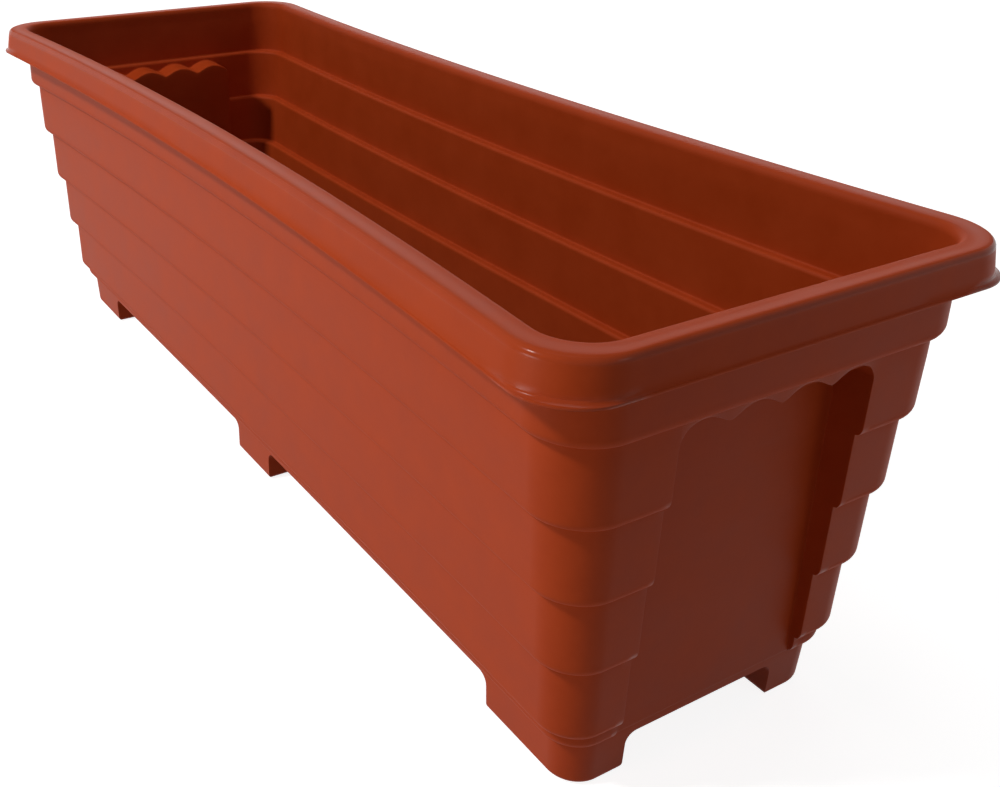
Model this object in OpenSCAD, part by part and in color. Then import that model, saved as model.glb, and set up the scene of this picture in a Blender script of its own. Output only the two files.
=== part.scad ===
// Self-watering window box: a stepped, tapering trough on moulded feet, with a two-piece
// reservoir floor, hanging wick cups, a filler tube with a flip cap, a float gauge, an
// overflow pipe and a drain screw.
// +X runs along the length, +Z is up, and the origin is the middle of the footprint on the ground.

/* [Trough] */
// Overall length over the rim
trough_length = 600; // [500:10:760]
// Overall width over the rim
trough_width = 218; // [200:2:280]
// Overall height from the ground to the rim
trough_height = 200; // [176:2:260]
// Thickness of the moulded wall
wall = 2.5; // [2:0.1:3]
// Corner radius at the lip of the rim
corner_r = 26.5; // [24:0.5:34]
// Inward bow of each long rim at mid-length
rim_bow = 11.5; // [0:0.5:14]
// Inset of the end walls for each millimetre of inset of the long walls
end_share = 0.66; // [0.5:0.02:0.8]

/* [Rim and courses] */
// Height of the skirt that hangs from the rim
rim_drop = 15.5; // [12:0.5:20]
// Width of the rim from the lip to its inner edge
rim_width = 12.4; // [11:0.2:16]
// Height from the rim down to the ledge under the collar
collar_drop = 37.5; // [34:0.5:44]
// Inset of the collar from the lip
collar_in = 13.2; // [12:0.2:17]
// Number of equal courses below the collar
course_count = 4; // [3:1:5]
// Depth of the ledge under each course
ledge_in = 4.4; // [4:0.1:5]
// Height of the rounded nose above each ledge
ledge_drop = 4.2; // [3.5:0.1:5]
// Inset gained down the face of each course
course_draft = 0.8; // [0.4:0.1:1.2]
// Height of the base course with its feet, up to the last ledge
base_height = 29.3; // [28:0.1:34]

/* [End panels] */
// Half of the width of the recessed panel
panel_half = 47; // [40:1:52]
// Number of arches along its top
arch_count = 4; // [3:1:5]
// Height of an arch above the cusps beside it
arch_rise = 4.7; // [3:0.1:6]

/* [Feet] */
// Height of the feet below the floor
foot_height = 17.5; // [10:0.5:18]
// Length of a corner foot
foot_length = 52; // [44:1:60]
// Length of a middle foot
mid_foot_length = 38; // [30:1:50]
// Depth of every foot in from the long face
foot_depth = 26.5; // [22:0.5:32]

/* [Reservoir floor] */
// Thickness of the floor plate
plate = 2.5; // [2:0.1:3.5]
// Diameter of the air holes
air_hole_d = 5; // [4:0.5:6]
// Distance between the centres of neighbouring wick cups of a half
cup_pitch = 100; // [90:1:110]
// Radius of a wick cup under its flange
cup_top_r = 30; // [26:0.5:32]
// Radius of a wick cup at its foot
cup_foot_r = 22; // [18:0.5:25]

/* [Filler] */
// Outer radius of the filler tube
fill_r = 11; // [10:0.5:13]
// Height of the filler tube's mouth above the ground
fill_top = 150; // [130:1:165]
// Radius of the cap's hinge pin
pin_r = 1.5; // [1.2:0.1:2]

/* [Gauge] */
// Radius of the float
float_r = 10.6; // [9:0.2:12]
// Height of the float
float_h = 24; // [18:1:30]
// Travel of the float from empty to full
float_travel = 36; // [24:1:40]
// Radius of the stem
stem_r = 1.6; // [1.2:0.1:2]

/* [Overflow and drain] */
// Outer radius of the overflow pipe
overflow_r = 7; // [6:0.5:9]
// Highest water level above the ground
water_level = 52; // [40:1:56]
// Radius of the drain screw
drain_r = 8; // [6:0.5:10]

/* [Hidden] */
$fn = 48;
seat_gap = 0.3;
run_gap = 0.06;
slip_gap = 0.4;
radius_share = 0.31;
base_bow = 0.05;
corner_steps = 5;
side_steps = 8;
ledge_steps = 3;
over = 1;
top_round = 3;
lip_in = 2.5;
skirt_wall = 2.2;
channel_round = 1;
mouth_round = [[0, 0], [2, 1], [2.9, 4]];
mouth_drop = 9;
inner_round = 1;
base_less = 0.3;
base_riser = 3.4;
base_draft = 1.2;
bottom_r = 5.5;
foot_edge = 3.5;
foot_arch_r = 5;
pocket_r = 6;
half_length = trough_length / 2;
half_width = trough_width / 2;
course_pitch = (trough_height - collar_drop - base_height) / course_count;
base_step = ledge_in - base_less;
base_in = course_in(course_count) + course_draft + 2 * base_step;
base_top = base_height - ledge_drop - base_riser;
floor_z = foot_height + wall;
panel_proud = 0.45;
panel_below = 1.3;
panel_clear = 1;
arch_trim = 0.16;
panel_x = half_length - base_in * end_share + panel_proud;
panel_top = course_z(0) - panel_below;
arch_pitch = 2 * panel_half / (arch_count - arch_trim);
arch_r = arch_pitch * arch_pitch / (8 * arch_rise) + arch_rise / 2;
foot_x = half_length - (base_in + base_draft) * end_share;
foot_y = half_width - base_in - base_draft;
foot_inner_x = foot_x - foot_length;
foot_inner_y = foot_y - foot_depth;
shelf_course = course_count - 1;
shelf_z = course_z(shelf_course) + wall;
plate_z = shelf_z + seat_gap;
plate_top = plate_z + plate;
plate_edge = 0.5;
plate_clear = inner_round + plate_edge;
plate_in = face_end(shelf_course) + wall + plate_clear;
notch_x = panel_x - wall - plate_clear;
notch_half = panel_half + wall + panel_clear;
split_gap = 0.8;
cup_flange = 4;
cup_flange_h = 2;
cup_wall = 1.8;
cup_clear = 2;
cup_spread = 35;
cup_slots = 8;
cup_slot_w = 4;
cup_slot_foot = 6;
cup_slot_head = 8;
tube_flange = 3;
tube_flange_h = 2;
tube_in_x = 64;
tube_in_y = 62;
corner_tube_x = half_length - tube_in_x;
corner_tube_y = half_width - tube_in_y;
fill_wall = 2;
fill_clear = 12;
fill_foot = floor_z + fill_clear;
cap_h = 3;
cap_over = 1.5;
plug_h = 4;
plug_clear = 1;
plug_wall = 1.4;
plug_r = fill_r - fill_wall - plug_clear;
thumb_w = 8;
thumb_l = 6;
cap_r = fill_r + cap_over;
hinge_out = 2.6;
hinge_y = cap_r + hinge_out;
hinge_r = 3;
hinge_z = fill_top + seat_gap + cap_h / 2;
knuckle_w = 8;
ear_w = 3;
ear_slim = 0.8;
ear_neck = 4;
ear_drop = 14;
ear_root_h = 12;
gauge_wall = 2;
gauge_r = float_r + slip_gap + gauge_wall;
gauge_clear = 3;
gauge_foot = floor_z + gauge_clear;
gauge_top = 118;
float_z = gauge_foot + gauge_wall + seat_gap;
float_edge = 1.5;
float_stop = 2;
gauge_slots = 4;
gauge_slot_w = 3;
gauge_slot_h = 30;
gauge_slot_foot = 4;
guide_h = 5;
tip_r = 3.4;
tip_h = 6;
tip_gap = 4;
tip_z = gauge_top + tip_gap;
window_r = 6.4;
window_wall = 1.6;
window_foot_h = 2;
window_round = 2.5;
window_head = 2;
window_h = tip_z + tip_h + float_travel + window_head - gauge_top;
grommet_wall = 2.5;
grommet_r = overflow_r + grommet_wall;
grommet_grip = 2.5;
grommet_lip = 2;
overflow_wall = 1.5;
overflow_tail = 1;
drain_x = 45;
drain_flange = 5;
drain_head_r = drain_r + drain_flange;
drain_head_h = 3.5;
seal_h = 1.5;
seal_out = 2;
coin_slot_w = 2;
coin_slot_h = 1.5;
seal_r = (seal_h - seat_gap) / 2;
drain_boss_h = 6;
leg_r = 6;
leg_x = 24;
leg_y = 28;
rib_out = 8;
rib_y = cup_top_r + rib_out;
rib_h = 8;
rib_w = 2;
rib_length = 180;
air_pitch = 20;
air_first = 25;
air_end = 40;
air_rows = [-60, -48, 48, 60];
terracotta = [0.60, 0.25, 0.16];
insert_grey = [0.20, 0.21, 0.22];

// Inset of the long wall at the top of course k, counted from 1 below the collar
function course_in(k) = collar_in + ledge_in + (k - 1) * (course_draft + ledge_in);

// Height of the ledge under course k, with the collar as course 0
function course_z(k) = trough_height - collar_drop - k * course_pitch;

// Inset at the bottom of the face of course k
function face_end(k) = k == 0 ? collar_in : course_in(k) + course_draft;

// Rounded nose that turns under from a face at inset t to a ledge at height z
function nose(t, z, in, drop) = [for (i = [0 : ledge_steps])
    let (a = 90 * i / ledge_steps) [t + in * (1 - cos(a)), z + drop * (1 - sin(a))]];

// Inner side of the same step, one wall thickness away
function inner_step(t, z, in) = [
    [t + wall, z + wall + inner_round],
    [t + wall + inner_round, z + wall],
    [t + in + wall - inner_round, z + wall],
    [t + in + wall, z + wall - inner_round]];

// Outside of the wall from the rim's flat top to the floor, as [inset, height]
outer_profile = concat(
    [for (a = [90 : -30 : 0]) [lip_in + top_round * (1 - cos(a)), trough_height - top_round * (1 - sin(a))]],
    [[0, trough_height - rim_drop], [skirt_wall, trough_height - rim_drop],
        [skirt_wall + lip_in, trough_height - wall], [collar_in - channel_round, trough_height - wall],
        [collar_in, trough_height - wall - channel_round]],
    [for (k = [0 : course_count - 1]) each nose(face_end(k), course_z(k), ledge_in, ledge_drop)],
    nose(face_end(course_count), course_z(course_count), base_step, ledge_drop),
    nose(face_end(course_count) + base_step, base_top, base_step, ledge_drop),
    nose(base_in + base_draft, 0, foot_edge, foot_edge));

// Inside of the wall from the rim's inner edge to the floor
inner_profile = concat(
    [for (m = mouth_round) [rim_width + m[0], trough_height - m[1]]],
    [[collar_in + wall, trough_height - mouth_drop]],
    [for (k = [0 : course_count - 1]) each inner_step(face_end(k), course_z(k), ledge_in)],
    inner_step(face_end(course_count), course_z(course_count), base_step),
    inner_step(face_end(course_count) + base_step, base_top, base_step),
    nose(base_in + wall + base_draft / 2, floor_z, bottom_r, bottom_r));

// Inward bow of a long wall at height z
function bow_at(z) = rim_bow * (base_bow + (1 - base_bow) * z / trough_height);

// One rounded corner, with its centre in quadrant q
function corner(cx, cy, r, q) = [for (i = [0 : corner_steps])
    let (a = 90 * (q + i / corner_steps)) [cx + r * cos(a), cy + r * sin(a)]];

// Points between the corners along a bowed long side, on a shallow parabola
function long_side(cx, b, bow, sy) = bow == 0 ? [] : [for (i = [1 : side_steps - 1])
    let (u = 1 - 2 * i / side_steps) [sy * u * cx, sy * (b - bow * (1 - u * u))]];

// Rounded rectangle of half sizes a and b with bowed long sides
function outline(a, b, r, bow) = concat(
    corner(a - r, b - r, r, 0), long_side(a - r, b, bow, 1),
    corner(r - a, b - r, r, 1), corner(r - a, r - b, r, 2),
    long_side(a - r, b, bow, -1), corner(a - r, r - b, r, 3));

// Outline of the trough at a profile point, skin millimetres inside the outer face
function wall_outline(p, skin) = let (t = p[0] - skin) outline(
    half_length - t * end_share - skin, half_width - p[0],
    corner_r - radius_share * t - skin, bow_at(p[1]));

function raise(points, z) = [for (p = points) [p[0], p[1], z]];

// Closed solid through a row of rings, listed from the floor of the inside over the rim and down the outside
module loft(rings) {
    n = len(rings[0]);
    last = len(rings) - 1;
    polyhedron(
        points = [for (ring = rings) each ring],
        faces = concat(
            [[for (j = [n - 1 : -1 : 0]) j]],
            [for (i = [0 : last - 1], j = [0 : n - 1])
                [i * n + j, i * n + (j + 1) % n, (i + 1) * n + (j + 1) % n, (i + 1) * n + j]],
            [[for (j = [0 : n - 1]) last * n + j]]));
}

// Scalloped panel outline from height z up, grown by the given margin, in the plane of an end wall
module panel_shape(z, grow) {
    intersection() {
        union() {
            translate([-panel_half - grow, z])
                square([2 * (panel_half + grow), panel_top - arch_r - z]);
            for (i = [0 : arch_count - 1])
                translate([(i - (arch_count - 1) / 2) * arch_pitch, panel_top - arch_r])
                    circle(arch_r + grow);
        }
        translate([-panel_half - grow, z])
            square([2 * (panel_half + grow), trough_height]);
    }
}

// Sets a drawing of an end wall upright at depth x and gives it a thickness, at both ends
module at_ends(x, thickness) {
    for (side = [0, 1])
        mirror([side, 0, 0])
            translate([x, 0, 0])
                rotate([90, 0, 90])
                    linear_extrude(thickness)
                        children();
}

// Back of the panel and the cheeks that join it to the middle of the wall of each course
module panel_block() {
    at_ends(panel_x - wall, 1.5 * wall)
        panel_shape(base_top + wall / 2, wall);
    for (k = [1 : course_count])
        at_ends(panel_x - wall, half_length - face_end(k) * end_share - wall / 2 - panel_x + wall)
            intersection() {
                panel_shape(base_top + wall / 2, wall);
                translate([-half_width, course_z(k) + wall / 2])
                    square([trough_width, k == 1 ? 2 * course_pitch : course_pitch]);
            }
}

// Section of the gap between two feet, rounded at the ground and where the feet spread into the floor
module gap_section(width) {
    difference() {
        union() {
            translate([-width / 2, -over])
                square([width, foot_height + over]);
            translate([-width / 2 - foot_edge, -over])
                square([width + 2 * foot_edge, foot_edge + over]);
        }
        for (side = [-1, 1]) {
            translate([side * (width / 2 + foot_edge), foot_edge])
                circle(foot_edge);
            translate([side * width / 2, foot_height])
                difference() {
                    square(2 * foot_arch_r, center = true);
                    translate([-side * foot_arch_r, -foot_arch_r])
                        circle(foot_arch_r);
                }
        }
    }
}

// Gaps that leave six feet: one along the trough and two across it
module foot_gaps() {
    cross_gap = foot_inner_x - mid_foot_length / 2;
    rotate([90, 0, 90])
        linear_extrude(2 * trough_length, center = true)
            gap_section(2 * foot_inner_y);
    for (side = [-1, 1])
        translate([side * (mid_foot_length + cross_gap) / 2, 0, 0])
            rotate([90, 0, 0])
                linear_extrude(2 * trough_width, center = true)
                    gap_section(cross_gap);
}

// Rectangle with rounded corners
module rounded_rect(length, depth, r) {
    square([length - 2 * r, depth], center = true);
    square([length, depth - 2 * r], center = true);
    for (sx = [-1, 1], sy = [-1, 1])
        translate([sx * (length / 2 - r), sy * (depth / 2 - r)])
            circle(r);
}

// Hollow of one foot, open to the inside
module foot_pocket(length) {
    translate([0, foot_y - foot_depth / 2, wall])
        linear_extrude(floor_z)
            rounded_rect(length - 2 * wall, foot_depth - 2 * wall, pocket_r);
}

// Hollows of the six feet
module foot_pockets() {
    for (side = [0, 1])
        mirror([0, side, 0]) {
            for (sx = [-1, 1])
                translate([sx * (foot_x - foot_length / 2), 0, 0])
                    foot_pocket(foot_length);
            translate([0, -bow_at(foot_height), 0])
                foot_pocket(mid_foot_length);
        }
}

// Box with a rolled rim, stepped walls, recessed end panels and hollow feet
module trough() {
    inside = [for (i = [len(inner_profile) - 1 : -1 : 0]) inner_profile[i]];
    color(terracotta)
        difference() {
            union() {
                loft(concat(
                    [for (p = inside) raise(wall_outline(p, wall), p[1])],
                    [for (p = outer_profile) raise(wall_outline(p, 0), p[1])]));
                panel_block();
                translate([drain_x, 0, foot_height])
                    cylinder(r = drain_r + slip_gap + wall, h = wall + drain_boss_h);
            }
            at_ends(panel_x, half_length)
                panel_shape(foot_height, 0);
            foot_gaps();
            foot_pockets();
            translate([drain_x, 0, 0])
                cylinder(r = drain_r + slip_gap, h = 2 * floor_z);
            cylinder(r = grommet_r, h = 2 * floor_z);
        }
}

// Plan of one half of the reservoir floor, side is -1 or 1
module half_plan(side) {
    difference() {
        intersection() {
            polygon(wall_outline([plate_in, plate_z], wall + plate_clear));
            translate([side > 0 ? split_gap / 2 : -half_length, -half_width])
                square([half_length - split_gap / 2, trough_width]);
        }
        translate([side > 0 ? notch_x : -half_length - notch_x, -notch_half])
            square([half_length, 2 * notch_half]);
    }
}

function cup_x(i) = (i - 1.5) * cup_pitch + sign(i - 1.5) * cup_spread;

// Air holes in rows clear of the cups and of the corner tube
module air_holes(side) {
    for (x = [air_first : air_pitch : half_length - air_end], y = air_rows)
        if (norm([x - corner_tube_x, y + corner_tube_y]) > gauge_r + tube_flange + air_hole_d)
            translate([side * x, y, plate_z - over])
                cylinder(d = air_hole_d, h = plate + 2 * over);
}

// Perforated floor half with stiffening ribs, two legs and holes for its cups and tube
module false_floor(side, tube_r) {
    first = side < 0 ? 0 : 2;
    rib_x = side < 0 ? -leg_x - rib_length : leg_x;
    color(insert_grey)
        difference() {
            union() {
                translate([0, 0, plate_z])
                    linear_extrude(plate)
                        half_plan(side);
                for (sy = [-1, 1]) {
                    translate([rib_x, sy * rib_y - rib_w / 2, plate_z - rib_h])
                        cube([rib_length, rib_w, rib_h + over]);
                    translate([side * leg_x, sy * leg_y, floor_z + seat_gap])
                        cylinder(r = leg_r, h = plate_z - floor_z);
                }
            }
            for (i = [first, first + 1])
                translate([cup_x(i), 0, plate_z - over])
                    cylinder(r = cup_top_r + slip_gap, h = plate + 2 * over);
            translate([side * corner_tube_x, -corner_tube_y, plate_z - over])
                cylinder(r = tube_r + slip_gap, h = plate + 2 * over);
            air_holes(side);
        }
}

// Slotted soil cup that hangs by its flange
module wick_cup(i) {
    foot = floor_z + cup_clear;
    flange_top = plate_top + cup_flange_h;
    color(insert_grey)
        translate([cup_x(i), 0, 0])
            difference() {
                rotate_extrude()
                    polygon([[0, foot], [cup_foot_r, foot], [cup_top_r, plate_top],
                        [cup_top_r + cup_flange, plate_top], [cup_top_r + cup_flange, flange_top],
                        [cup_top_r - cup_wall, flange_top], [cup_foot_r - cup_wall, foot + cup_wall],
                        [0, foot + cup_wall]]);
                for (s = [0 : cup_slots - 1])
                    rotate(360 * s / cup_slots)
                        translate([cup_foot_r / 2, -cup_slot_w / 2, foot + cup_slot_foot])
                            cube([cup_top_r, cup_slot_w, plate_z - foot - cup_slot_foot - cup_slot_head]);
            }
}

// Filler pipe with a seating flange and two hinge ears at its mouth
module fill_tube() {
    color(insert_grey)
        translate([corner_tube_x, -corner_tube_y, 0])
            difference() {
                union() {
                    translate([0, 0, fill_foot])
                        cylinder(r = fill_r, h = fill_top - fill_foot);
                    translate([0, 0, plate_top])
                        cylinder(r = fill_r + tube_flange, h = tube_flange_h);
                    for (sx = [-1, 1])
                        translate([sx * (knuckle_w / 2 + seat_gap + ear_w / 2), 0, 0]) {
                            translate([-ear_w / 2, fill_r - fill_wall / 2, hinge_z - ear_drop])
                                cube([ear_w, hinge_y - fill_r + fill_wall / 2, ear_root_h]);
                            translate([-ear_w / 2, hinge_y - hinge_r + ear_slim, hinge_z - ear_neck])
                                cube([ear_w, 2 * (hinge_r - ear_slim), ear_neck]);
                            translate([-ear_w / 2, hinge_y, hinge_z])
                                rotate([0, 90, 0])
                                    cylinder(r = hinge_r, h = ear_w);
                        }
                }
                translate([0, 0, fill_foot - over])
                    cylinder(r = fill_r - fill_wall, h = fill_top - fill_foot + 2 * over);
                translate([-half_width, hinge_y, hinge_z])
                    rotate([0, 90, 0])
                        cylinder(r = pin_r, h = trough_width);
            }
}

// Flip cap with a plug ring that enters the tube's mouth, a knuckle and a thumb lip
module fill_cap() {
    color(insert_grey)
        translate([corner_tube_x, -corner_tube_y, 0])
            difference() {
                union() {
                    translate([0, 0, fill_top + seat_gap])
                        cylinder(r = cap_r, h = cap_h);
                    difference() {
                        translate([0, 0, fill_top + seat_gap - plug_h])
                            cylinder(r = plug_r, h = plug_h + over);
                        translate([0, 0, fill_top + seat_gap - plug_h - over])
                            cylinder(r = plug_r - plug_wall, h = plug_h + over);
                    }
                    translate([-thumb_w / 2, -cap_r - thumb_l / 2, fill_top + seat_gap])
                        cube([thumb_w, thumb_l, cap_h]);
                    translate([-knuckle_w / 2, 0, fill_top + seat_gap])
                        cube([knuckle_w, hinge_y, cap_h]);
                    translate([-knuckle_w / 2, hinge_y, hinge_z])
                        rotate([0, 90, 0])
                            cylinder(r = hinge_r, h = knuckle_w);
                }
                translate([-knuckle_w, hinge_y, hinge_z])
                    rotate([0, 90, 0])
                        cylinder(r = pin_r + run_gap, h = 2 * knuckle_w);
            }
}

// Hinge pin held in the tube's ears
module fill_cap_pin() {
    reach = knuckle_w / 2 + seat_gap + ear_w;
    color("silver")
        translate([corner_tube_x - reach, hinge_y - corner_tube_y, hinge_z])
            rotate([0, 90, 0])
                cylinder(r = pin_r, h = 2 * reach);
}

// Float shaft with water slots at its foot and a lip that keeps the float in
module gauge_tube() {
    color(insert_grey)
        translate([-corner_tube_x, -corner_tube_y, 0])
            difference() {
                rotate_extrude()
                    polygon([[float_r - float_stop, gauge_foot], [gauge_r, gauge_foot],
                        [gauge_r, plate_top], [gauge_r + tube_flange, plate_top],
                        [gauge_r + tube_flange, plate_top + tube_flange_h],
                        [gauge_r, plate_top + tube_flange_h], [gauge_r, gauge_top],
                        [gauge_r - gauge_wall, gauge_top], [gauge_r - gauge_wall, gauge_foot + gauge_wall],
                        [float_r - float_stop, gauge_foot + gauge_wall]]);
                for (s = [0 : gauge_slots - 1])
                    rotate(360 * (s + 0.5) / gauge_slots)
                        translate([0, -gauge_slot_w / 2, gauge_foot + gauge_slot_foot])
                            cube([gauge_r + over, gauge_slot_w, gauge_slot_h]);
            }
}

// Disc in the top of the shaft that guides the stem
module gauge_guide() {
    color(insert_grey)
        translate([-corner_tube_x, -corner_tube_y, gauge_top - guide_h])
            difference() {
                cylinder(r = gauge_r - gauge_wall, h = guide_h);
                translate([0, 0, -over])
                    cylinder(r = stem_r + run_gap, h = guide_h + 2 * over);
            }
}

// Clear sight dome on top of the shaft
module gauge_window() {
    color([0.85, 0.9, 0.92, 0.4])
        translate([-corner_tube_x, -corner_tube_y, gauge_top])
            rotate_extrude()
                polygon([[window_r - window_wall, 0], [gauge_r, 0], [gauge_r, window_foot_h],
                    [window_r, window_foot_h], [window_r, window_h - window_round],
                    [window_r - window_round, window_h], [0, window_h],
                    [0, window_h - window_wall], [window_r - window_wall, window_h - window_wall]]);
}

// Hollow float, drawn as its closed outside
module gauge_float() {
    color("whitesmoke")
        translate([-corner_tube_x, -corner_tube_y, float_z])
            rotate_extrude()
                polygon([[0, 0], [float_r - float_edge, 0], [float_r, float_edge],
                    [float_r, float_h - float_edge], [float_r - float_edge, float_h], [0, float_h]]);
}

// Thin rod from the float up into the sight dome
module gauge_stem() {
    color("whitesmoke")
        translate([-corner_tube_x, -corner_tube_y, float_z + float_h])
            cylinder(r = stem_r, h = tip_z - float_z - float_h);
}

// Coloured tip that shows the water level
module gauge_tip() {
    color("red")
        translate([-corner_tube_x, -corner_tube_y, tip_z])
            cylinder(r = tip_r, h = tip_h);
}

// Rubber grommet that grips the edge of the overflow hole
module overflow_grommet() {
    lip_r = grommet_r + grommet_grip;
    color("dimgray")
        rotate_extrude()
            polygon([[overflow_r, foot_height - grommet_lip], [lip_r, foot_height - grommet_lip],
                [lip_r, foot_height], [grommet_r, foot_height], [grommet_r, floor_z],
                [lip_r, floor_z], [lip_r, floor_z + grommet_lip],
                [overflow_r, floor_z + grommet_lip]]);
}

// Standpipe whose mouth is the highest water level
module overflow_tube() {
    pipe_foot = foot_height - grommet_lip - overflow_tail;
    color(insert_grey)
        difference() {
            translate([0, 0, pipe_foot])
                cylinder(r = overflow_r, h = water_level - pipe_foot);
            cylinder(r = overflow_r - overflow_wall, h = water_level + over);
        }
}

// Drain screw with a coin slot across its head
module drain_plug() {
    head_z = foot_height - seal_h - drain_head_h;
    color(insert_grey)
        translate([drain_x, 0, head_z])
            difference() {
                union() {
                    cylinder(r = drain_head_r, h = drain_head_h);
                    cylinder(r = drain_r, h = drain_head_h + seal_h + wall + drain_boss_h - over);
                }
                translate([-drain_head_r, -coin_slot_w / 2, -over])
                    cube([2 * drain_head_r, coin_slot_w, coin_slot_h + over]);
            }
}

// Rubber ring between the screw's head and the floor
module drain_seal() {
    color("dimgray")
        translate([drain_x, 0, foot_height - seal_h])
            rotate_extrude()
                translate([drain_r + slip_gap + seal_out, seal_r])
                    circle(r = seal_r);
}

trough();
false_floor(-1, gauge_r);  // false_floor_left
false_floor(1, fill_r);  // false_floor_right
for (i = [0 : 3])
    wick_cup(i);
fill_tube();
fill_cap();
fill_cap_pin();
gauge_tube();
gauge_guide();
gauge_window();
gauge_float();
gauge_stem();
gauge_tip();
overflow_grommet();
overflow_tube();
drain_plug();
drain_seal();
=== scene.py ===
import math

import bmesh
import bpy
import numpy as np
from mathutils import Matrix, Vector


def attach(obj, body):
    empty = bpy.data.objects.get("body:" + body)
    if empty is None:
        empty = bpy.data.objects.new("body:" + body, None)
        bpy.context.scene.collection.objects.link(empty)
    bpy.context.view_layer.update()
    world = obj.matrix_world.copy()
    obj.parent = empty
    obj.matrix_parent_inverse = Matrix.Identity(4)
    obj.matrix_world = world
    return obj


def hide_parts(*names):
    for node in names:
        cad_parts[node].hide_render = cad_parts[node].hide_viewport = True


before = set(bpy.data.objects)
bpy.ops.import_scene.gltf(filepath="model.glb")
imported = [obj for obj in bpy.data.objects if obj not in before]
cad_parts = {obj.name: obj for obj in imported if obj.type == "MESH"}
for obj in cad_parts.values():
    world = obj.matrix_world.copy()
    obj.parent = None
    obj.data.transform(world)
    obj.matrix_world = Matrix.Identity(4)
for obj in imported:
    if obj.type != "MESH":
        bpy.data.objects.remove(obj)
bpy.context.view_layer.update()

# Trough
# One injection-moulded shell of terracotta polypropylene: a rolled rim with a hanging skirt, a plain
# collar, four stepped courses and a base course, with a scalloped panel let into each end.
MM, WELD = 0.001, 1e-6
trough_length, trough_width, trough_height = 600.0, 218.0, 200.0
wall = 2.5
lip_radius, radius_share, end_share, rim_bow = 26.5, 0.31, 0.66, 11.5
rim_in, rim_flat, roll_in, roll_out, roll_drop = 12.0, 8.8, 5.5, 2.5, 3.0
bead_low, bead_nose, bead_top, bead_depth, lip_flare = 184.4, 185.7, 187.0, 2.25, 3.5
bead_nose_in, bead_top_in = 0.15, 0.95
skirt_in, skirt_top, skirt_fillet = 4.7, 197.5, 0.8
mouth_in, mouth_out, mouth_drop, mouth_foot, rim_dip = 12.4, 15.2, 4.0, 188.0, 0.02
course_count, course_pitch, course_draft = 4, 33.3, 0.8
collar_inset, collar_ledge = 13.2, 162.5
ledge_in, ledge_drop, crease = 4.4, 4.2, 0.6
base_step, base_top, base_draft, foot_edge = 4.1, 21.7, 1.2, 3.5
floor_under, floor_round, floor_gap = 17.5, 1.5, 0.5
panel_plane, panel_half, panel_corner = 272.6, 47.0, 4.5
arch_pitch, arch_peak, arch_rise, arch_foot = 24.5, 161.1, 4.7, 157.0


def quarter(start, end, steps, flat_first=False):
    """Quarter ellipse from start to end, both (inset, height). It leaves start along the height and
    reaches end along the inset, or the other way round when flat_first."""
    turn = np.linspace(0, math.pi / 2, steps + 1)
    along, across = np.sin(turn), 1 - np.cos(turn)
    rise, shift = (across, along) if flat_first else (along, across)
    return np.column_stack([start[0] + (end[0] - start[0]) * shift, start[1] + (end[1] - start[1]) * rise])


def between(start, end, steps):
    """Points on the straight line from start to end, without the two ends."""
    share = np.linspace(0, 1, steps + 1)[1:-1, None]
    return np.array(start) * (1 - share) + np.array(end) * share


def outside_step(inset, ledge, depth):
    """A rounded nose that turns under from a face at this inset to a ledge, then a small crease into
    the next face."""
    nose = quarter((inset, ledge + ledge_drop), (inset + depth - crease, ledge), 7)
    fold = quarter((inset + depth - crease, ledge), (inset + depth, ledge - crease), 3, flat_first=True)
    return np.vstack([nose, fold[1:]])


def inside_step(inset, ledge, depth):
    """The same step on the inside, one wall away: a small fillet onto the ledge, a flat, then a round
    off it."""
    face, top = inset + wall, ledge + wall
    fillet, flat = 0.25 * depth, 0.3 * depth
    foot = quarter((face, top + fillet), (face + fillet, top), 4)
    edge = quarter((face + fillet + flat, top), (face + depth, top - depth + fillet + flat), 6, flat_first=True)
    return np.vstack([foot, edge])


def joined(*pieces):
    """Stacks profile pieces and fills each straight run between them with points under 3 mm apart, six at
    most."""
    spacing, most_points = 3.0, 6
    rows = [pieces[0]]
    for piece in pieces[1:]:
        gap = math.dist(rows[-1][-1], piece[0])
        rows.append(between(rows[-1][-1], piece[0], 1 + min(int(gap / spacing), most_points)))
        rows.append(piece)
    return np.vstack(rows)


face_end = [collar_inset + ledge_in * k + course_draft * k for k in range(course_count + 1)]
ledges = [collar_ledge - course_pitch * k for k in range(course_count + 1)]
steps = [(face_end[k], ledges[k], ledge_in) for k in range(course_count)]
steps += [(face_end[-1], ledges[-1], base_step), (face_end[-1] + base_step, base_top, base_step)]
base_in = face_end[-1] + 2 * base_step
foot_in, floor_in, floor_top = base_in + base_draft, base_in + wall + floor_gap, floor_under + wall
rim_top = np.array([[rim_in, trough_height], [rim_flat, trough_height]])
lip_bead = np.array([[0.0, 185.4], [0.1, 184.8], [0.5, 184.5], [1.6, 184.5], [2.1, 184.8], [2.3, 185.5]])
outer_rows = joined(
    rim_top, quarter((roll_in, trough_height), (roll_out, trough_height - roll_drop), 7, flat_first=True),
    quarter((bead_top_in, bead_top), (bead_nose_in, bead_nose), 3), lip_bead,
    quarter((skirt_in, skirt_top - skirt_fillet), (skirt_in + skirt_fillet, skirt_top), 3),
    quarter((collar_inset - skirt_fillet, skirt_top), (collar_inset, skirt_top - skirt_fillet), 3,
            flat_first=True),
    *[outside_step(*step) for step in steps],
    quarter((foot_in, foot_edge), (foot_in + foot_edge, 0.0), 6))
inner_rows = joined(
    quarter((mouth_in, trough_height - rim_dip), (mouth_out, trough_height - mouth_drop), 6, flat_first=True),
    np.array([[collar_inset + wall, mouth_foot]]),
    *[inside_step(*step) for step in steps],
    quarter((floor_in, floor_top + floor_round), (floor_in + floor_round, floor_top), 6))


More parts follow.
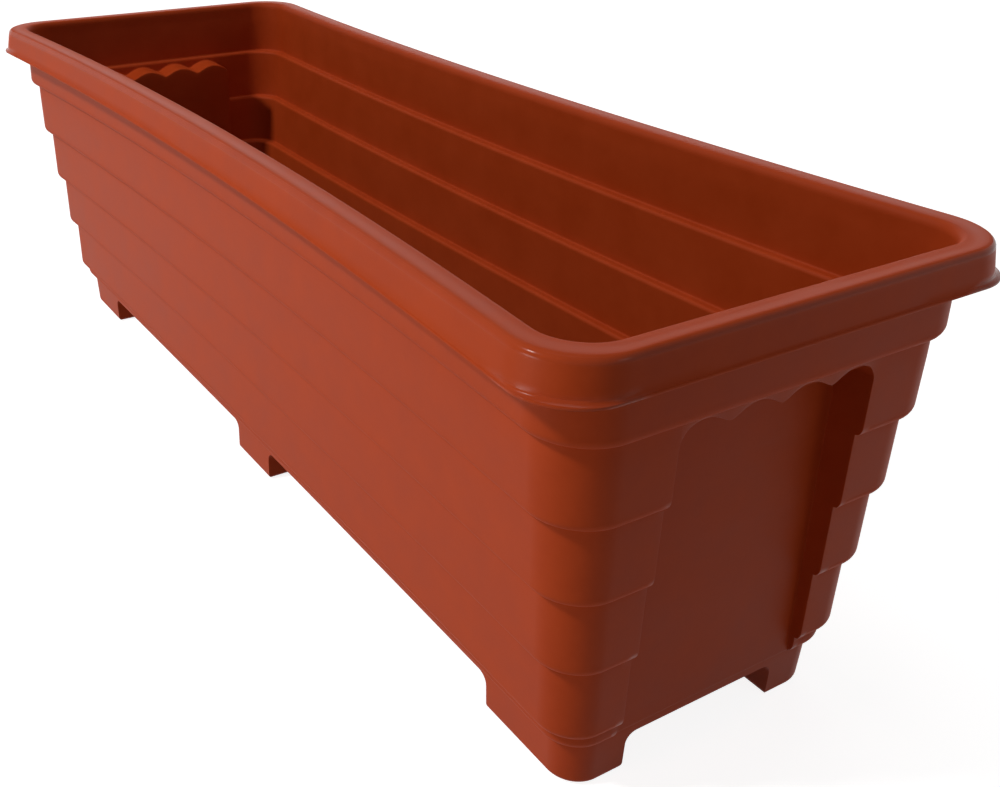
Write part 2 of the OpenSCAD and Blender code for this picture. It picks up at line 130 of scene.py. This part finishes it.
def arch_top(y, half):
    """Height of the scalloped edge across an end panel: a row of even arches, as the size of a cosine with
    its zeros rounded off, and a round corner at each side."""
    blunt = 0.02
    y = np.minimum(np.abs(y), half)
    wave = np.sqrt(np.cos(math.pi * (y - arch_pitch / 2) / arch_pitch) ** 2 + blunt) - blunt / 2
    out = np.maximum(y - half + panel_corner, 0)
    return arch_peak - arch_rise * (1 - wave) - panel_corner + np.sqrt(panel_corner ** 2 - out ** 2)


# Rows of a recess edge, as (offset outwards, greatest depth below the face, least height above the panel)
no_limit = 1e3
edge_rows = np.array([[0.45, 0.0, 0], [0.15, 0.08, 0], [0.0, 0.45, 0],
                      [-0.15, no_limit, 0.5], [-0.3, no_limit, 0.12], [-0.7, no_limit, 0.0]])


def with_scallop(rows, top, bottom, size):
    """Adds to the profile the rows that follow the scalloped edge, between two heights of the first course.
    Returns inset, height, how far each row follows the edge, and its limits of depth."""
    slack = 1e-6
    near = (rows[:, 1] <= top + slack) & (rows[:, 1] >= bottom - slack)
    first, last = np.flatnonzero(near)[[0, -1]]
    above, face, under = rows[:first + 1], rows[near][::-1], rows[last:]
    edge_z = arch_foot + edge_rows[:, 0] * size
    below = np.linspace(edge_z[-1], bottom, 8)[1:-1]
    z = np.concatenate([edge_z, below])
    follow = np.concatenate([np.ones(len(edge_z)), (below - bottom) / (edge_z[-1] - bottom)])
    free = np.tile([no_limit, 0.0], (len(below) + len(under), 1))
    return (np.concatenate([above[:, 0], np.interp(z, face[:, 1], face[:, 0]), under[:, 0]])[:, None],
            np.concatenate([above[:, 1], z, under[:, 1]])[:, None],
            np.concatenate([np.zeros(len(above)), follow, np.zeros(len(under))])[:, None],
            np.vstack([np.zeros((len(above), 2)), edge_rows[:, 1:] * size, free]))


def wall_grid(rows, skin, size, grow):
    """Grid of the wall, a row for each profile point and a column for each place round the outline. The
    outline is a rectangle with round corners whose long sides bow inwards on a parabola and run into the
    corners without a kink. An end column moves in to the panel where the panel lies behind the face. The
    inside lies a skin further in, has a recess edge of a larger size, and its panel has grown by a wall."""
    panel_points, flank_points, corner_points, side_points = 33, 7, 23, 25
    inner_round, inner_fillet, arch_grow = 0.62 * ledge_in, 0.38 * ledge_in, grow * 0.4
    top, bottom = ledges[0] - crease, ledges[1] + ledge_drop
    if skin:
        top, bottom = ledges[0] + wall - inner_round, ledges[1] + (wall + inner_fillet)
    inset, z, follow, limit = with_scallop(rows, top, bottom, size)
    on_bead = (z > bead_low) & (inset < bead_depth)
    flare = np.interp(z, [bead_low, bead_nose, bead_top], [lip_flare, lip_flare, 0]) * on_bead
    # Over the top 9 mm the skin doubles, so that the rim is nearly as broad on the ends as on the sides
    broad_from, broad_to = trough_height - 9, trough_height - 0.01
    own_skin = np.interp(z, [broad_from, broad_to], [skin, 2 * skin])
    a = trough_length / 2 - (inset - own_skin) * end_share - own_skin
    b = trough_width / 2 - inset
    r = lip_radius - radius_share * (inset - own_skin) - own_skin - flare
    bow = rim_bow * z / trough_height
    straight = b - r
    half = np.minimum(panel_half + grow, straight - size)
    inside = np.linspace(0, 1, panel_points)[None, :-1] * (half + edge_rows[-1, 0] * size)
    edge = half + edge_rows[::-1, 0][None, :] * size
    outside = edge[:, -1:] + np.linspace(0, 1, flank_points)[None, 1:] * (straight - edge[:, -1:])
    y_end = np.hstack([inside, edge, outside])
    column_limit = np.vstack([np.tile([no_limit, 0.0], (inside.shape[1], 1)), edge_rows[::-1, 1:] * size,
                              np.zeros((outside.shape[1], 2))])
    z_end = z + follow * (arch_top(y_end, half) + arch_grow - arch_foot)
    deep = np.maximum(a - panel_plane + grow, 0)
    greatest_depth = np.minimum(limit[:, :1], column_limit[:, 0])
    least_height = np.maximum(limit[:, 1:], column_limit[:, 1])
    x_end = a - np.clip(np.minimum(greatest_depth, deep - least_height), 0, deep)
    lean = np.arctan(2 * bow / (a - r))
    sweep = np.linspace(0, 1, corner_points)[None, 1:] * (math.pi / 2 + lean)
    x_arc, y_arc = a - r + r * np.cos(sweep), b - r + r * np.sin(sweep)
    along = np.linspace(1, 0, side_points)[None, 1:]
    x_side = x_arc[:, -1:] * along
    y_side = y_arc[:, -1:] - np.tan(lean) * x_arc[:, -1:] / 2 * (1 - along ** 2)
    z_rest = np.tile(z_end[:, -1:], (1, x_arc.shape[1] + x_side.shape[1]))
    quadrant = np.stack([np.hstack([x_end, x_arc, x_side]), np.hstack([y_end, y_arc, y_side]),
                         np.hstack([z_end, z_rest])], axis=-1)
    half_ring = np.concatenate([quadrant, quadrant[:, -2::-1] * [-1, 1, 1]], axis=1)
    return np.concatenate([half_ring, half_ring[:, -2:0:-1] * [1, -1, 1]], axis=1)


def floor_grid(ring, count):
    """Rows that close a floor, from its outline in to a line along the middle of the trough."""
    reach = np.abs(ring[:, 0]).max() - np.abs(ring[:, 1]).max()
    spine = np.column_stack([np.clip(ring[:, 0], -reach, reach), np.zeros(len(ring)), ring[:, 2]])
    share = np.linspace(0, 1, count + 1)[1:, None, None]
    return ring[None] * (1 - share) + spine[None] * share


def mesh_piece(name, points, faces, rub=None):
    """A new object from points in millimetres and faces, with doubled points merged. Each point may carry
    how far its edge is rubbed."""
    data = bpy.data.meshes.new(name)
    data.from_pydata(np.reshape(points, (-1, 3)) * MM, [], faces)
    if rub is not None:
        data.attributes.new("rub", "FLOAT", "POINT").data.foreach_set("value", rub.ravel())
    work = bmesh.new()
    work.from_mesh(data)
    bmesh.ops.remove_doubles(work, verts=work.verts, dist=WELD)
    work.to_mesh(data)
    work.free()
    piece = bpy.data.objects.new(name, data)
    bpy.context.scene.collection.objects.link(piece)
    return piece


def ring_faces(rows, columns, first=0):
    """Quads of a grid whose rows are closed rings."""
    r, c = np.mgrid[0:rows - 1, 0:columns]
    n = (c + 1) % columns
    low, high = r * columns, (r + 1) * columns
    quads = np.stack([low + c, low + n, high + n, high + c], axis=-1)
    return (quads.reshape(-1, 4) + first).tolist()


def bend(grid):
    """How sharply the wall turns from row to row, as one over the radius in millimetres: the angle from one
    row's step to the next over the mean length of the two. The first and last rows don't turn."""
    step = np.diff(grid, axis=0)
    length = np.linalg.norm(step, axis=-1) + 1e-6
    way = step / length[..., None]
    angle = np.arccos(np.clip((way[1:] * way[:-1]).sum(-1), -1, 1))
    return np.pad(2 * angle / (length[1:] + length[:-1]), ((1, 1), (0, 0)))


outer_grid = wall_grid(outer_rows, skin=0.0, size=1.0, grow=0.0)[::-1]
inner_grid = wall_grid(inner_rows, skin=wall, size=2.2, grow=wall)
floor_rows = 8
shell = np.concatenate([floor_grid(outer_grid[0], floor_rows)[::-1], outer_grid,
                        inner_grid, floor_grid(inner_grid[-1], floor_rows)])
# Edges with a radius under 6 mm come bright from the mould on the rim's roll and the lip's corners, less so
# on the panels. Stacking scuffs the others.
edge_round, bright, fair, scuffed = 6.0, 1.0, 0.4, -0.35
corner_x, corner_y, lip_low, lip_high, roll_high = 268, 78, 184, 187.5, trough_height - 0.5
panel_x, panel_y, panel_high = 250, panel_half + 3, arch_peak + 2
x_out, y_out, z_up = np.abs(shell[..., 0]), np.abs(shell[..., 1]), shell[..., 2]
outside = (np.arange(len(shell)) < floor_rows + len(outer_grid))[:, None]
lip_corner = (x_out > corner_x) & (y_out > corner_y) & (z_up > lip_low) & (z_up < lip_high)
rim_roll = (z_up > lip_high) & (z_up < roll_high)
panel = (x_out > panel_x) & (y_out < panel_y) & (z_up < panel_high) & (z_up > base_top)
finish_of = np.select([outside & (lip_corner | rim_roll), outside & panel], [bright, fair], scuffed)
rub = np.minimum(edge_round * bend(shell), 1) * finish_of
trough = mesh_piece("planter_trough", shell, ring_faces(len(shell), shell.shape[1]), rub)

# Feet, drain boss and floor holes
# The base course runs down to the ground and is cut away between six feet, which are hollow from above.
# A boss takes the drain screw and a plain hole takes the overflow pipe.
foot_inner_x, foot_inner_y, mid_foot_half = 219.3, 39.0, 19.0
foot_face_x, foot_face_y, foot_arch, toe_round = 271.0, 65.0, 5.0, foot_edge * 0.8
hollow_corner, hollow_round, hollow_top = 6.0, 3.0, floor_top + 1
drain_x, drain_hole, drain_boss, boss_low, boss_top = 45.0, 8.4, 10.9, floor_under + 0.5, 26.0
overflow_hole = 9.5
cut_x, cut_y, cut_below, hole_low, hole_high = 330.0, 140.0, 2.0, 5.0, 30.0


def gap_profile(low, high):
    """Section of the gap between two feet, from below the ground up: the feet round off at the ground and
    spread into the floor on a quarter round. Returns places across and heights, going round."""
    toe = quarter((-toe_round, 0), (0, toe_round), 5, flat_first=True)
    arch = quarter((0, floor_under - foot_arch), (foot_arch, floor_under), 7)
    side = np.vstack([[[-toe_round, -cut_below]], toe, arch])
    left, right = side + [low, 0], side * [-1, 1] + [high, 0]
    return np.vstack([left, right[::-1]])


def channel(low, high, along_x, reach):
    """Two rings of a straight cutter with that section, running along X or along Y."""
    section = gap_profile(low, high)
    ends = [np.column_stack([np.full(len(section), v), section]) for v in (-reach, reach)]
    if along_x:
        return np.stack(ends)
    return np.stack([ring[::-1][:, [1, 0, 2]] for ring in ends])


def tube_rings(x, radius, low, high):
    """Two rings of a round boss or cutter on the trough's long middle line, from its top down."""
    turn = np.linspace(0, 2 * math.pi, 48, endpoint=False)
    ring = np.column_stack([x + radius * np.cos(turn), radius * np.sin(turn), np.zeros(len(turn))])
    return np.stack([ring + [0, 0, high], ring + [0, 0, low]])


def pocket(x0, x1, y0, y1):
    """Rings of the hollow of a foot, from its top down, with round corners and a round lower edge."""
    fall = np.linspace(0, math.pi / 2, 6)
    tuck = np.concatenate([[0], hollow_round * (1 - np.cos(fall))])[:, None]
    z = np.concatenate([[hollow_top], wall + hollow_round * (1 - np.sin(fall))])[:, None]
    turn = np.linspace(0, math.pi / 2, 9)[None]
    corners = [(x1, y1, 1, 1), (x0, y1, -1, 1), (x0, y0, -1, -1), (x1, y0, 1, -1)]
    rings = []
    for number, (cx, cy, sx, sy) in enumerate(corners):
        swing = turn + number * math.pi / 2
        x = cx - sx * hollow_corner + (hollow_corner - tuck) * np.cos(swing)
        y = cy - sy * hollow_corner + (hollow_corner - tuck) * np.sin(swing)
        rings.append(np.stack([x, y, z + 0 * swing], axis=-1))
    return np.concatenate(rings, axis=1)


def closed_faces(rows, columns, first):
    """Ring faces from the top down, turned outwards, with a cap at each end."""
    sides = [quad[::-1] for quad in ring_faces(rows, columns, first)]
    last = first + (rows - 1) * columns
    return sides + [list(range(first, first + columns)), list(range(last, last + columns))[::-1]]


def tool_piece(name, blocks):
    """One mesh of several closed blocks, for joining to the trough or cutting from it."""
    points, faces = [], []
    for block in blocks:
        faces += closed_faces(block.shape[0], block.shape[1], sum(len(p) for p in points))
        points.append(block.reshape(-1, 3))
    return mesh_piece(name, np.vstack(points), faces)


corner_pocket = pocket(foot_inner_x + wall, foot_face_x - wall, foot_inner_y + wall, foot_face_y - wall)
mid_pocket = pocket(-mid_foot_half + wall, mid_foot_half - wall, foot_inner_y + wall, foot_face_y - wall - 1)
long_gap = tool_piece("long_gap", [channel(-foot_inner_y, foot_inner_y, True, cut_x)])
cross_gaps = tool_piece("cross_gaps", [channel(mid_foot_half, foot_inner_x, False, cut_y),
                                       channel(-foot_inner_x, -mid_foot_half, False, cut_y)])
boss = tool_piece("boss", [tube_rings(drain_x, drain_boss, boss_low, boss_top)])
hollows = tool_piece("hollows", [
    corner_pocket, corner_pocket[:, ::-1] * [-1, 1, 1], corner_pocket[:, ::-1] * [1, -1, 1],
    corner_pocket * [-1, -1, 1], mid_pocket, mid_pocket[:, ::-1] * [1, -1, 1],
    tube_rings(drain_x, drain_hole, hole_low, hole_high), tube_rings(0, overflow_hole, hole_low, hole_high)])
floor_tools = {long_gap: "DIFFERENCE", cross_gaps: "DIFFERENCE", boss: "UNION", hollows: "DIFFERENCE"}
for tool, way in floor_tools.items():
    change = trough.modifiers.new(tool.name, "BOOLEAN")
    change.operation, change.solver, change.object = way, "EXACT", tool
whole = bpy.data.meshes.new_from_object(trough.evaluated_get(bpy.context.evaluated_depsgraph_get()))
trough.modifiers.clear()
trough.data = whole
for tool in floor_tools:
    bpy.data.objects.remove(tool)
whole.shade_smooth()
whole.set_sharp_from_angle(angle=math.radians(38))
level = trough.modifiers.new("flat faces stay flat", "WEIGHTED_NORMAL")
level.keep_sharp = True
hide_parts("trough")
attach(trough, "box")


def linear(hex_colour):
    """An sRGB hex colour as linear RGBA."""
    s = np.array([int(hex_colour[i:i + 2], 16) for i in (1, 3, 5)]) / 255
    rgb = np.where(s <= 0.04045, s / 12.92, ((s + 0.055) / 1.055) ** 2.4)
    return (*rgb, 1.0)


def node(owner, kind, links=None, **settings):
    """Adds a node, sets its properties or named inputs, and links inputs to other nodes' outputs."""
    tree = owner.node_tree
    made = tree.nodes.new(kind)
    for key, value in settings.items():
        if hasattr(made, key):
            setattr(made, key, value)
        else:
            made.inputs[key.replace("_", " ")].default_value = value
    for key, (source, output) in (links or {}).items():
        tree.links.new(source.outputs[output], made.inputs[key])
    return made


def emptied(owner):
    """Gives a material or the world a node tree with nothing in it."""
    owner.use_nodes = True
    owner.node_tree.nodes.clear()
    return owner


def noise(material, size_mm, **settings):
    """Noise on the piece's own coordinates, in patches of the given size in millimetres."""
    where = node(material, "ShaderNodeTexCoord")
    return node(material, "ShaderNodeTexNoise", {"Vector": (where, "Object")}, Scale=1000 / size_mm, **settings)


def two_tones(material, source, dark, light, start=0.0, end=1.0):
    """A ramp from one hex colour to another, as a node's output goes from start to end."""
    ramp = node(material, "ShaderNodeValToRGB", {"Fac": source})
    for stop, place, colour in zip(ramp.color_ramp.elements, (start, end), (dark, light)):
        stop.position, stop.color = place, linear(colour)
    return ramp


# Terracotta polypropylene: satin from the mould's fine spark finish, with faint flow marks about 22 mm across
# in the colour and in the gloss. The spark finish is drawn at 1.1 mm, coarser than it is, so that it shows.
flow_mm, spark_mm = 22.0, 1.1
terracotta = emptied(bpy.data.materials.new("terracotta_polypropylene"))
flow = noise(terracotta, flow_mm, Detail=6.0, Roughness=0.62)
tone = two_tones(terracotta, (flow, "Fac"), "#a73b12", "#b04118", 0.3, 0.7)
gloss = node(terracotta, "ShaderNodeMapRange", {"Value": (flow, "Fac")}, To_Min=0.42, To_Max=0.56)
edges = node(terracotta, "ShaderNodeAttribute", attribute_name="rub")
finish = node(terracotta, "ShaderNodeMath", {0: (edges, "Fac"), 2: (gloss, "Result")},
              operation="MULTIPLY_ADD")
finish.inputs[1].default_value = -0.32
grain = noise(terracotta, spark_mm, Detail=2.0)
relief = node(terracotta, "ShaderNodeBump", {"Height": (grain, "Fac")}, Strength=0.05, Distance=0.0004)
skin = node(terracotta, "ShaderNodeBsdfPrincipled",
            {"Base Color": (tone, "Color"), "Roughness": (finish, "Value"), "Normal": (relief, "Normal")},
            IOR=1.49, Specular_IOR_Level=0.1)
node(terracotta, "ShaderNodeOutputMaterial", {"Surface": (skin, "BSDF")})
trough.data.materials.clear()
trough.data.materials.append(terracotta)


# Overflow grommet
# A moulded rubber ring that is pushed into the middle hole of the floor and grips its edge with two lips.
def softened(name, body, material, edge):
    """A copy of a part's solid with doubled points merged, flat faces joined up and every sharp edge rounded
    off to the given size in millimetres, as a mould leaves it. It takes the part's place on its body."""
    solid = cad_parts[name].data
    solid.calc_loop_triangles()
    points = np.empty(len(solid.vertices) * 3)
    solid.vertices.foreach_get("co", points)
    piece = mesh_piece("planter_" + name, points / MM, [tuple(tri.vertices) for tri in solid.loop_triangles])
    work = bmesh.new()
    work.from_mesh(piece.data)
    bmesh.ops.dissolve_limit(work, angle_limit=math.radians(0.5), verts=work.verts, edges=work.edges)
    work.to_mesh(piece.data)
    work.free()
    piece.data.shade_smooth()
    round_off = piece.modifiers.new("moulded edges", "BEVEL")
    round_off.width, round_off.segments, round_off.use_clamp_overlap = edge * MM, 2, False
    round_off.limit_method, round_off.angle_limit = "ANGLE", math.radians(35)
    even = piece.modifiers.new("flat faces stay flat", "WEIGHTED_NORMAL")
    even.keep_sharp = True
    piece.data.materials.append(material)
    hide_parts(name)
    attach(piece, body)


# EPDM rubber: a dull black with a dusty bloom in patches of 6 mm, from a blasted mould.
bloom_mm = 6.0
rubber = emptied(bpy.data.materials.new("epdm_rubber"))
bloom = noise(rubber, bloom_mm, Detail=5.0)
tone = two_tones(rubber, (bloom, "Fac"), "#1b1b1a", "#2c2b29", 0.35, 0.7)
relief = node(rubber, "ShaderNodeBump", {"Height": (bloom, "Fac")}, Strength=0.15, Distance=0.0004)
skin = node(rubber, "ShaderNodeBsdfPrincipled", {"Base Color": (tone, "Color"), "Normal": (relief, "Normal")},
            Roughness=0.72, IOR=1.52)
node(rubber, "ShaderNodeOutputMaterial", {"Surface": (skin, "BSDF")})
softened("overflow_grommet", "box", rubber, edge=0.6)


# Overflow pipe
# A short extruded pipe of recycled polypropylene that stands in the grommet. Its mouth is the highest
# water level.
def moulded_plastic(name, dark, light, streak_mm, roughness):
    """A moulded polymer: two close tones in soft streaks of the given size, a fine spark finish from the
    mould, and a gloss that follows the streaks."""
    swing = 0.06
    plastic = emptied(bpy.data.materials.new(name))
    streak = noise(plastic, streak_mm, Detail=5.0, Roughness=0.6, Distortion=0.6)
    shade = two_tones(plastic, (streak, "Fac"), dark, light, 0.32, 0.68)
    dullness = node(plastic, "ShaderNodeMapRange", {"Value": (streak, "Fac")},
                    To_Min=roughness - swing, To_Max=roughness + swing)
    spark = noise(plastic, spark_mm, Detail=2.0)
    bump = node(plastic, "ShaderNodeBump", {"Height": (spark, "Fac")}, Strength=0.08, Distance=0.0003)
    body = node(plastic, "ShaderNodeBsdfPrincipled",
                {"Base Color": (shade, "Color"), "Roughness": (dullness, "Result"), "Normal": (bump, "Normal")},
                IOR=1.49)
    node(plastic, "ShaderNodeOutputMaterial", {"Surface": (body, "BSDF")})
    return plastic


# Recycled polypropylene: charcoal with faint streaks of other regrind.
charcoal = moulded_plastic("charcoal_polypropylene", "#33353a", "#42444a", streak_mm=38, roughness=0.48)
softened("overflow_tube", "box", charcoal, edge=0.4)

# Drain screw
# A slotted polypropylene screw in the floor's boss, with a rubber ring that seals its head from below.
softened("drain_plug", "drain_screw", charcoal, edge=0.5)
drain_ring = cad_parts["drain_seal"]
drain_ring.data.materials.clear()
drain_ring.data.materials.append(rubber)

# Reservoir floor
# Two perforated plates with ribs and legs under them, moulded in the same charcoal plastic. They rest on the
# ledge of the last course and lift out.
softened("false_floor_left", "left_floor", charcoal, edge=0.4)
softened("false_floor_right", "right_floor", charcoal, edge=0.4)

# Wick cups
# Slotted conical cups that hang by their flanges in the floor, full of soil that draws the water up.
for number, half in ((1, "left_floor"), (2, "left_floor"), (3, "right_floor"), (4, "right_floor")):
    softened("wick_cup_%d" % number, half, charcoal, edge=0.5)

# Filler
# A pipe through the right floor half. Its flip cap turns on a cut length of stainless wire in two ears.
softened("fill_tube", "right_floor", charcoal, edge=0.4)
softened("fill_cap", "filler_cap", charcoal, edge=0.5)

# Stainless wire: bright, with drawing marks of a quarter millimetre along its length.
mark_mm = 0.25
wire = emptied(bpy.data.materials.new("drawn_stainless_steel"))
where = node(wire, "ShaderNodeTexCoord")
along = node(wire, "ShaderNodeMapping", {"Vector": (where, "Object")}, Scale=(0.04, 1.0, 1.0))
marks = node(wire, "ShaderNodeTexNoise", {"Vector": (along, "Vector")}, Scale=1000 / mark_mm, Detail=3.0)
tone = two_tones(wire, (marks, "Fac"), "#a2a3a5", "#c6c7c8")
gloss = node(wire, "ShaderNodeMapRange", {"Value": (marks, "Fac")}, To_Min=0.22, To_Max=0.4)
skin = node(wire, "ShaderNodeBsdfPrincipled", {"Base Color": (tone, "Color"), "Roughness": (gloss, "Result")},
            Metallic=1.0)
node(wire, "ShaderNodeOutputMaterial", {"Surface": (skin, "BSDF")})
softened("fill_cap_pin", "right_floor", wire, edge=0.3)

# Gauge shaft and guide
# A slotted shaft in the left floor half that keeps the float upright, with a disc in its top for the stem.
softened("gauge_tube", "left_floor", charcoal, edge=0.4)
softened("gauge_guide", "left_floor", charcoal, edge=0.3)

# Float
# A turned plug of closed-cell foam that carries a thin stem with a red tip, which shows the water level.
# Closed-cell foam: white beads about 2.5 mm across, pressed together, with fine dark seams.
bead_mm = 2.5
foam = emptied(bpy.data.materials.new("closed_cell_foam"))
where = node(foam, "ShaderNodeTexCoord")
beads = node(foam, "ShaderNodeTexVoronoi", {"Vector": (where, "Object")}, Scale=1000 / bead_mm,
             feature="DISTANCE_TO_EDGE")
tone = two_tones(foam, (beads, "Distance"), "#cfcdc2", "#efeee8", 0.0, 0.12)
relief = node(foam, "ShaderNodeBump", {"Height": (beads, "Distance")}, Strength=0.35, Distance=0.0006)
skin = node(foam, "ShaderNodeBsdfPrincipled", {"Base Color": (tone, "Color"), "Normal": (relief, "Normal")},
            Roughness=0.82, IOR=1.3)
node(foam, "ShaderNodeOutputMaterial", {"Surface": (skin, "BSDF")})
softened("gauge_float", "float", foam, edge=0.5)
white = moulded_plastic("white_polypropylene", "#dcdad2", "#e9e8e2", streak_mm=25, roughness=0.42)
softened("gauge_stem", "float", white, edge=0.2)
red = moulded_plastic("red_polypropylene", "#a80f12", "#bd1719", streak_mm=20, roughness=0.34)
softened("gauge_tip", "float", red, edge=0.8)

# Sight dome
# A clear polystyrene thimble on top of the shaft, through which the tip is seen.
# Moulded polystyrene: water-clear, with a slight ripple of 8 mm from the mould.
ripple_mm = 8.0
clear = emptied(bpy.data.materials.new("clear_polystyrene"))
ripple = noise(clear, ripple_mm, Detail=1.0)
tint = two_tones(clear, (ripple, "Fac"), "#eef4f5", "#fbfdfd")
relief = node(clear, "ShaderNodeBump", {"Height": (ripple, "Fac")}, Strength=0.04, Distance=0.0004)
skin = node(clear, "ShaderNodeBsdfPrincipled", {"Base Color": (tint, "Color"), "Normal": (relief, "Normal")},
            Roughness=0.04, IOR=1.59, Transmission_Weight=1.0)
node(clear, "ShaderNodeOutputMaterial", {"Surface": (skin, "BSDF")})
softened("gauge_window", "left_floor", clear, edge=0.5)

# Studio
# A pale floor that keeps the shadow, a small key lamp from the front left, weaker lamps low in front, behind,
# to the right and above, and a white surround.
reach = 6.0
floor_data = bpy.data.meshes.new("studio_floor")
floor_data.from_pydata([(-reach, -reach, 0), (reach, -reach, 0), (reach, reach, 0), (-reach, reach, 0)], [],
                       [(0, 1, 2, 3)])
floor = bpy.data.objects.new("studio_floor", floor_data)
bpy.context.scene.collection.objects.link(floor)


def shown_rays(owner):
    """One for rays from the camera, from gloss or through clear plastic, and nought for the rest."""
    ray = node(owner, "ShaderNodeLightPath")
    open_rays = node(owner, "ShaderNodeMath", {0: (ray, "Is Camera Ray"), 1: (ray, "Is Glossy Ray")},
                     operation="MAXIMUM")
    return node(owner, "ShaderNodeMath", {0: (open_rays, "Value"), 1: (ray, "Is Transmission Ray")},
                operation="MAXIMUM")


paper = emptied(bpy.data.materials.new("white_paper"))
matt = node(paper, "ShaderNodeBsdfDiffuse", Color=(0.5, 0.5, 0.5, 1))
lift = node(paper, "ShaderNodeMapRange", {"Value": (shown_rays(paper), "Value")}, To_Min=0.0, To_Max=0.88)
glow = node(paper, "ShaderNodeEmission", {"Strength": (lift, "Result")}, Color=(1, 1, 1, 1))
sheet = node(paper, "ShaderNodeAddShader", {0: (matt, "BSDF"), 1: (glow, "Emission")})
node(paper, "ShaderNodeOutputMaterial", {"Surface": (sheet, "Shader")})
floor_data.materials.append(paper)

world = emptied(bpy.data.worlds.new("white_studio"))
bpy.context.scene.world = world
level_of = node(world, "ShaderNodeMapRange", {"Value": (shown_rays(world), "Value")}, To_Min=0.1, To_Max=1.0)
air = node(world, "ShaderNodeBackground", {"Strength": (level_of, "Result")}, Color=(1, 1, 1, 1))
node(world, "ShaderNodeOutputWorld", {"Surface": (air, "Background")})


def softbox(name, width, height, watts, place, aim):
    """A soft rectangular lamp that faces a point."""
    lamp_data = bpy.data.lights.new(name, "AREA")
    lamp_data.shape, lamp_data.size, lamp_data.size_y, lamp_data.energy = "RECTANGLE", width, height, watts
    lamp = bpy.data.objects.new(name, lamp_data)
    bpy.context.scene.collection.objects.link(lamp)
    lamp.location = place
    lamp.rotation_euler = (Vector(aim) - Vector(place)).to_track_quat("-Z", "Y").to_euler()


softbox("key_softbox", 0.22, 0.22, 22.3, (-0.31, -1.57, 1.7), (0, 0, 0.1))
softbox("low_front_softbox", 0.5, 0.2, 5.4, (0.05, -1.5, 0.1), (0, 0, 0.1))
softbox("back_strip", 2.0, 0.5, 5.0, (-1.4, 1.15, 0.9), (0.1, 0, 0.15))
softbox("right_softbox", 0.5, 0.5, 1.5, (1.82, 0.66, 0.55), (0.2, 0, 0.1))
softbox("top_softbox", 0.7, 0.5, 3.0, (0, 0.1, 1.6), (0, 0.1, 0))

tilt_down, turn_left = 22.52, 59.88
camera_data = bpy.data.cameras.new("photo_camera")
camera_data.sensor_width, camera_data.lens = 36.0, 42.49
camera_data.shift_x, camera_data.shift_y = 0.1444, -0.1177
camera_data.clip_start = 0.01
camera = bpy.data.objects.new("photo_camera", camera_data)
bpy.context.scene.collection.objects.link(camera)
camera.location = (0.5203, -0.3018, 0.3494)
camera.rotation_euler = (math.radians(90 - tilt_down), 0, math.radians(turn_left))
bpy.context.scene.camera = camera
bpy.context.scene.view_settings.view_transform = "Standard"
